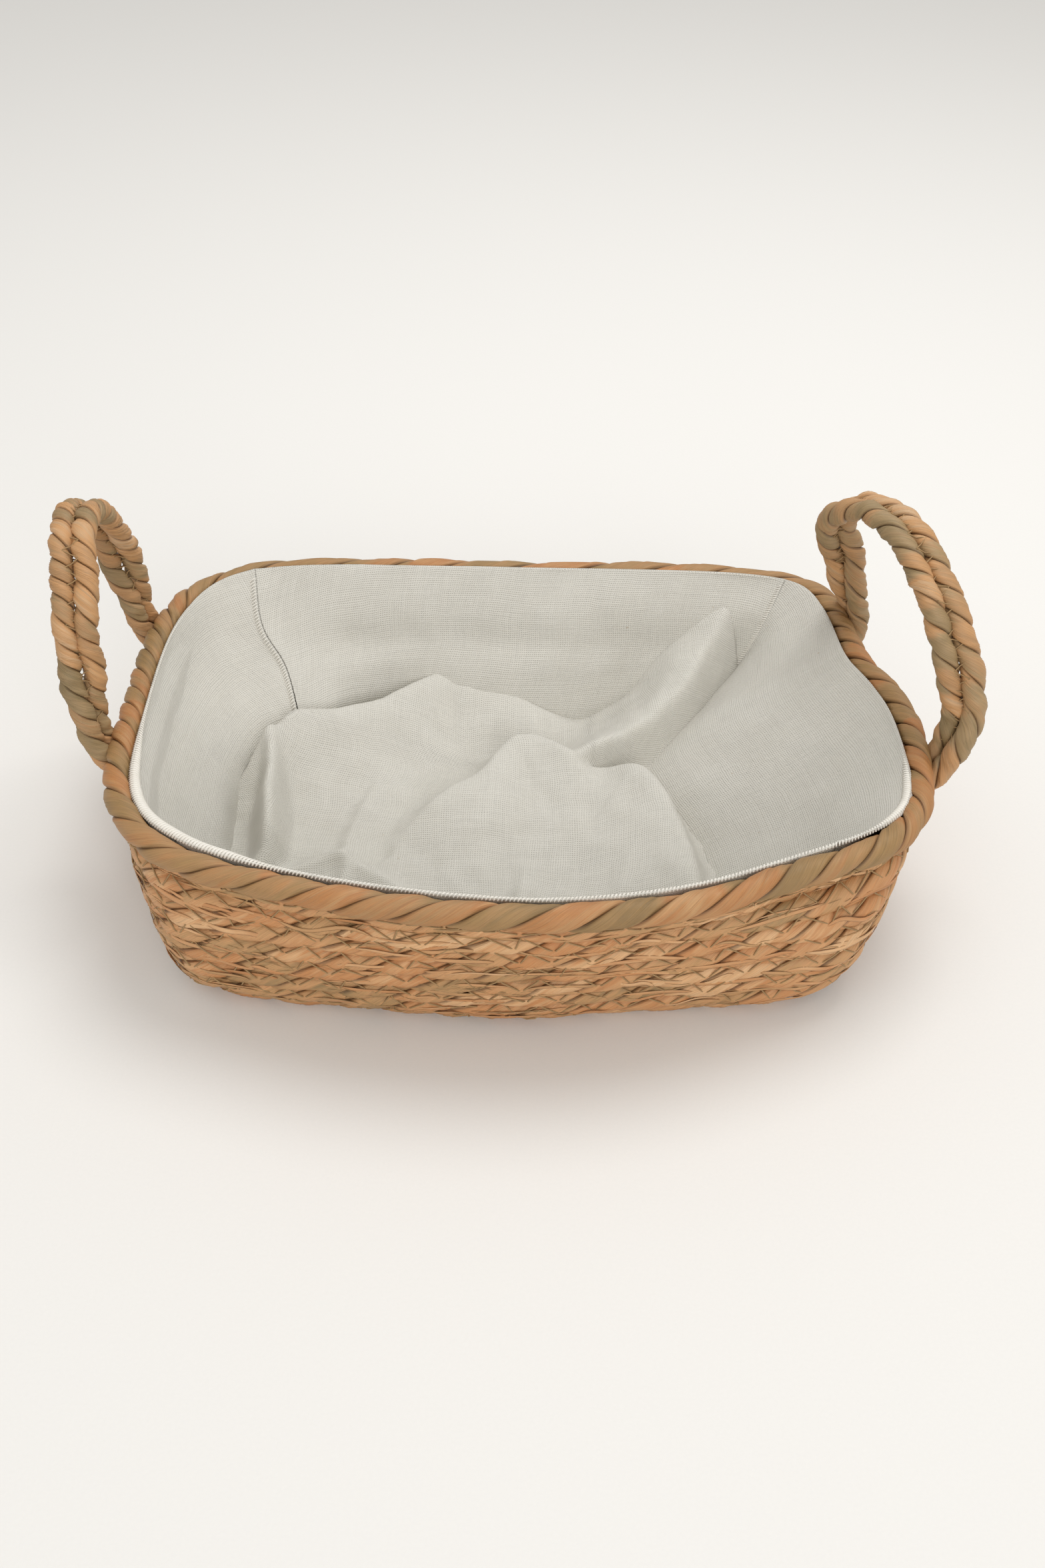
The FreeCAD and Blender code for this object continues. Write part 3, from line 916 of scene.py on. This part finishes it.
for name, first, last, foot, count, belly, cut, area in PANELS:
    start, stop = corner_places[first], corner_places[last]
    if stop < start:
        stop += 1
    points = patch(hem_line(start, stop, count, 0.4, HEM_LEVEL), curve_through(foot, count),
                   curve_through(seams[first], DOWN), curve_through(seams[last], DOWN))
    normal = -sheet_normals(points)
    v = np.linspace(0, 1, DOWN)[:, None]
    u = np.linspace(0, 1, count)[None]
    bow = np.sin(math.pi * v) * np.sin(math.pi * u) ** 0.5
    edge = np.minimum(u, 1 - u) * count * 1.1
    waves = (0.35 * smooth_noise((DOWN, count), 9, len(name))
             + 0.8 * smooth_noise((DOWN, count), 26, len(name) + 9))
    relief = belly * bow + waves * np.sin(math.pi * v) ** 0.5 * (1 - np.exp(-(edge / 7) ** 2))
    relief = relief - 0.9 * np.exp(-(edge / 1.6) ** 2)
    points = points - normal * relief[..., None]
    lower = np.clip((HEM_LEVEL - 0.5 - points[..., 2]) / 4, 0, 1)[..., None]
    points = points + (keep_inside(points, PANEL_CLEAR) - points) * lower * lower * (3 - 2 * lower)
    panels[name] = points
    cloth("liner_%s_panel" % name, points, "liner_%s" % name)


# ---------------------------------------------------------------- the bottom cloth
# A piece of the same cotton, cut larger than the base, lies on it in soft folds. Each fold is
# a ridge along a line and adds height exp(-(d/w)^p) beside it, with its own width w on either
# side; a fourth number at a point is a share of that width.

FOLDS = [
    ([(-104, 30, 22), (-92, 42, 25), (-78, 49, 23), (-60, 59, 21), (-42, 72, 22), (-33, 78, 20),
      (-18, 75, 17), (4, 67, 11), (22, 62, 5)], 7, 20, 1.7),
    ([(89, 94, 51, 2.2), (84, 86, 46, 1.9), (77, 76, 38, 1.4), (70, 64, 30, 1.1), (56, 49, 23, 0.9),
      (41, 38, 19, 0.7), (27, 29, 15, 0.5), (14, 20, 4, 0.4)], 6.0, 30, 1.7),
    ([(-46, -14, 4), (-34, 2, 10), (-14, 20, 14), (-1, 36, 17), (8, 35, 17), (18, 27, 15), (30, 16, 10),
      (42, 10, 6)], 7, 24, 1.5),
    ([(-102, 31, 22), (-99, 12, 26), (-98, -2, 25), (-97, -13, 21), (-97, -24, 13), (-103, -36, 4)],
     4.5, 6.0, 1.9),
    ([(34, 24, 10), (46, 20, 15), (56, 6, 16), (61, -8, 16), (65, -24, 15), (68, -50, 11)], 4.5, 24, 1.7),
    ([(-106, -31, 2), (-86, -27, 5), (-68, -23, 8), (-68, -50, 3)], 5, 6, 1.1),
    ([(-69, -22, 6), (-31, -51, 5)], 4, 9, 1.1),
    ([(-68, -24, 6), (-66, -2, 4), (-61, 17, 4), (-53, 48, 3), (-42, 70, 3)], 4, 9, 1.1),
    ([(0, -62, 5), (2, -40, 4), (3, -20, 0)], 4, 7, 1.3),
    ([(34, -66, 5), (40, -35, 5), (48, -8, 3)], 6, 9, 1.2),
]


def fold_height(x, y, line, before, after, power):
    """Height of one ridge: before is its width on the left of the line's run, after on the right."""
    line = curve_through([(*point, 1.0)[:4] for point in line], 60)
    best = np.full(x.shape, 1e9)
    height, side, share = np.ones((3, *x.shape))
    for i in range(len(line) - 1):
        a, b = line[i], line[i + 1]
        run = b[:2] - a[:2]
        t = ((x - a[0]) * run[0] + (y - a[1]) * run[1]) / (run @ run)
        inside = np.clip(t, 0, 1)
        dx, dy = x - a[0] - inside * run[0], y - a[1] - inside * run[1]
        far = np.hypot(dx, dy)
        closer = far < best
        best = np.where(closer, far, best)
        height = np.where(closer, a[2] + (b[2] - a[2]) * inside, height)
        side = np.where(closer, np.sign(run[0] * dy - run[1] * dx), side)
        share = np.where(closer, a[3] + (b[3] - a[3]) * inside, share)
    width = np.where(side > 0, before, after) * share
    return height * np.exp(-(best / width) ** power)


LONG, WIDE = 250, 190
BOTTOM_LEFT, BOTTOM_RIGHT = -119, 106
BOTTOM_CLEAR = 4.9
edge_line = oval(121.0, 83.5, -4.5, np.arange(4000) / 4000, 0.7)
column = np.linspace(BOTTOM_LEFT, BOTTOM_RIGHT, LONG)
back_edge, front_edge = ([edge_line[side], edge_line[side][:, 0].argsort()] for side in
                         (edge_line[:, 1] > 0, edge_line[:, 1] < 0))
back_y, front_y = (np.interp(column, line[order, 0], line[order, 1])
                   for line, order in (back_edge, front_edge))
share = np.linspace(0, 1, WIDE)[:, None]
x = np.broadcast_to(column[None], (WIDE, LONG))
y = front_y * (1 - share) + back_y * share
near_edge = np.clip(np.abs(share - 0.5) * 2, 0, 1)


def bottom_height(x, y):
    """Level of the bottom cloth: a low mound and the folds, the largest of them and part of the rest."""
    mound = 6 * np.exp(-((x - 15) / 60) ** 2 - ((y + 8) / 45) ** 2)
    heights = np.array([fold_height(x, y, *fold) for fold in FOLDS])
    most = (heights ** 4).sum(0) ** 0.25
    return FLOOR_LEVEL + mound + most


for _ in range(3):
    z = bottom_height(x, y)
    grow = 1 + 0.17 * np.clip((z - 16) / 50, 0, 1) * near_edge ** 5
    y = (front_y * (1 - share) + back_y * share) * grow
relief = 0.8 * smooth_noise((WIDE, LONG), 13, 31) + 0.35 * smooth_noise((WIDE, LONG), 5, 32)
z = blurred(np.maximum(bottom_height(x, y), FLOOR_LEVEL + 2), 5)
z = z + relief * np.clip((1 - near_edge) * 8, 0, 1)
bottom = keep_inside(np.stack([x, y, np.maximum(z, FLOOR_LEVEL - 0.5)], -1), BOTTOM_CLEAR)
cloth("liner_bottom", bottom, "liner_floor")


# ---------------------------------------------------------------- the hem
# The panels' top edge is turned over, overlocked with fat white stitches that show inside
# the rim, and held by one line of running stitches below it. Whip stitches close the seams.

white_thread = thread_finish("hem_thread", (0.86, 0.83, 0.77, 1), (0.74, 0.70, 0.62, 1))
OVERLOCK = 640
line = hem_line(0, 1, OVERLOCK + 1, 0.5, HEM_LEVEL - 0.1)[:-1]
along = along_line(line, True)
inward = -unit(np.cross(along, np.array([0.0, 0.0, 1.0])))
places = np.arange(OVERLOCK) / OVERLOCK
left, right = at_corner(places, NEAR_LEFT, 0.06, 4), at_corner(places, NEAR_RIGHT, 0.025, 4)
front = np.clip(inward[:, 1] * 1.5 - 0.4, 0, 1)
big = np.clip(0.30 * front + 1.25 * left + 0.9 * right, 0.0, 1.25)[:, None]
lean = 1.6 * big + 0.4 * wander(places, 5, 30, 12)[:, None] * big
low = line + inward * (lean + 0.6 + 0.7 * big) + along * 0.8 - np.array([0, 0, 0.9]) * (0.6 + big)
top = line + inward * (lean * 0.8 + 0.2) + np.array([0, 0, 1.0]) * big
out = line - inward * 0.4 - along * 0.5 - np.array([0, 0, 0.8])
t = np.linspace(0, 1, 6)[None, :, None]
arc = ((1 - t) ** 2 * low[:, None] + 2 * t * (1 - t) * (top + np.array([0, 0, 0.5]))[:, None]
       + t ** 2 * out[:, None])
over = np.broadcast_to((inward * 0.6 + np.array([0, 0, 0.8]))[:, None], arc.shape)
hem = tubes("hem_overlock", arc, unit(over), 0.3 + 0.3 * big[:, 0], 0.25 + 0.15 * big[:, 0], 6)
hem.data.materials.append(white_thread)
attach(hem, "root")
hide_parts("liner_hem")


def running_stitches(points, normals, long, gap, rise):
    """Short stitches along a line of points, each as long as long and the next after gap."""
    run = np.concatenate([[0], np.cumsum(np.linalg.norm(np.diff(points, axis=0), axis=1))])
    start = np.arange(1.0, run[-1] - long, long + gap)[:, None] + np.linspace(0, long, 5)[None]
    found = np.stack([np.interp(start, run, column) for column in points.T], -1)
    axes = unit(np.stack([np.interp(start, run, column) for column in normals.T], -1))
    dip = np.array([-0.25, 0.8, 1.0, 0.8, -0.25]) * rise
    return found + axes * dip[None, :, None], axes


HEM_ROW = 5
WHIP_RISE = np.array([0.1, 0.55, 0.75, 0.5, -0.1])[None, :, None]
t = np.linspace(0, 1, 5)[None, :, None]
paths, axes = [], []
for points in panels.values():
    facing = sheet_normals(points)
    facing = facing * np.sign((facing * (np.array([0, 0, 60]) - points)).sum(-1).mean())
    hemming, normal = running_stitches(points[HEM_ROW], facing[HEM_ROW], 2.3, 0.9, 0.3)
    paths.append(hemming)
    axes.append(normal)
    whip = points[3:-8, None, 0] * (1 - t) + points[4:-7, None, 3] * t
    normal = np.broadcast_to(facing[3:-8, None, 1], whip.shape)
    paths.append(whip + normal * WHIP_RISE)
    axes.append(normal)
sewn = tubes("liner_seam_stitches", np.concatenate(paths), np.concatenate(axes), 0.26, 0.2, 5)
sewn.data.materials.append(white_thread)
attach(sewn, "root")


# ---------------------------------------------------------------- studio
# A pale floor and broad soft lights, and a camera above the front.

floor_mesh = bpy.data.meshes.new("studio_floor")
floor_mesh.from_pydata([(-6, -6, 0), (6, -6, 0), (6, 9, 0), (-6, 9, 0)], [], [(0, 1, 2, 3)])
floor = bpy.data.objects.new("studio_floor", floor_mesh)
bpy.context.collection.objects.link(floor)
pale = Finish("studio_pale")
paper = pale.noise(pale.node("ShaderNodeTexCoord", output="Object"), 900.0, 2.0)
tint = pale.mix(paper, (0.80, 0.785, 0.755, 1), (0.83, 0.815, 0.785, 1))
floor.data.materials.append(pale.surface(tint, paper, 0.00002, Roughness=0.9))
floor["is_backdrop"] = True

sky = bpy.data.worlds.new("studio_sky")
bpy.context.scene.world = sky
sky.use_nodes = True
sky.node_tree.nodes["Background"].inputs["Color"].default_value = (1.0, 0.99, 0.97, 1)
sky.node_tree.nodes["Background"].inputs["Strength"].default_value = 0.69


def soft_light(name, place, target, size, power):
    """Round area light at a place, facing a target."""
    lamp = bpy.data.lights.new(name, "AREA")
    lamp.shape = "DISK"
    lamp.size, lamp.energy = size, power
    made = bpy.data.objects.new(name, lamp)
    made.location = place
    aim = Vector(target) - Vector(place)
    made.rotation_euler = aim.to_track_quat("-Z", "Y").to_euler()
    bpy.context.collection.objects.link(made)


MIDDLE = (0, 0, 0.03)
soft_light("key_light", (0.25, 0.35, 1.3), MIDDLE, 0.8, 7.5)
soft_light("fill_light", (0.5, -2.3, 1.3), MIDDLE, 1.4, 20)

LOOK_HEIGHT, DISTANCE = 0.0389, 0.584
LOOK_DOWN, TURN, TILT = (math.radians(a) for a in (40, -1.093, -0.383))
SIDESTEP, RISE = -0.00099, 0.00208
right = Vector((math.cos(TURN), -math.sin(TURN), 0))
ahead = Vector((math.sin(TURN), math.cos(TURN), 0))
up_axis = Vector((0, 0, 1))
look = ahead * math.cos(LOOK_DOWN) - up_axis * math.sin(LOOK_DOWN)
top = ahead * math.sin(LOOK_DOWN) + up_axis * math.cos(LOOK_DOWN)
cam_right = right * math.cos(TILT) - top * math.sin(TILT)
cam_up = right * math.sin(TILT) + top * math.cos(TILT)
camera = bpy.data.objects.new("camera", bpy.data.cameras.new("camera"))
camera.data.lens = 34.5
camera.data.sensor_width = 36
spot = Vector((0, 0, LOOK_HEIGHT)) - cam_right * SIDESTEP - cam_up * RISE - look * DISTANCE
turned = Matrix((cam_right, cam_up, -look)).transposed().to_4x4()
camera.matrix_world = Matrix.Translation(spot) @ turned
bpy.context.collection.objects.link(camera)
bpy.context.scene.camera = camera
bpy.context.scene.view_settings.view_transform = "Standard"

low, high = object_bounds()
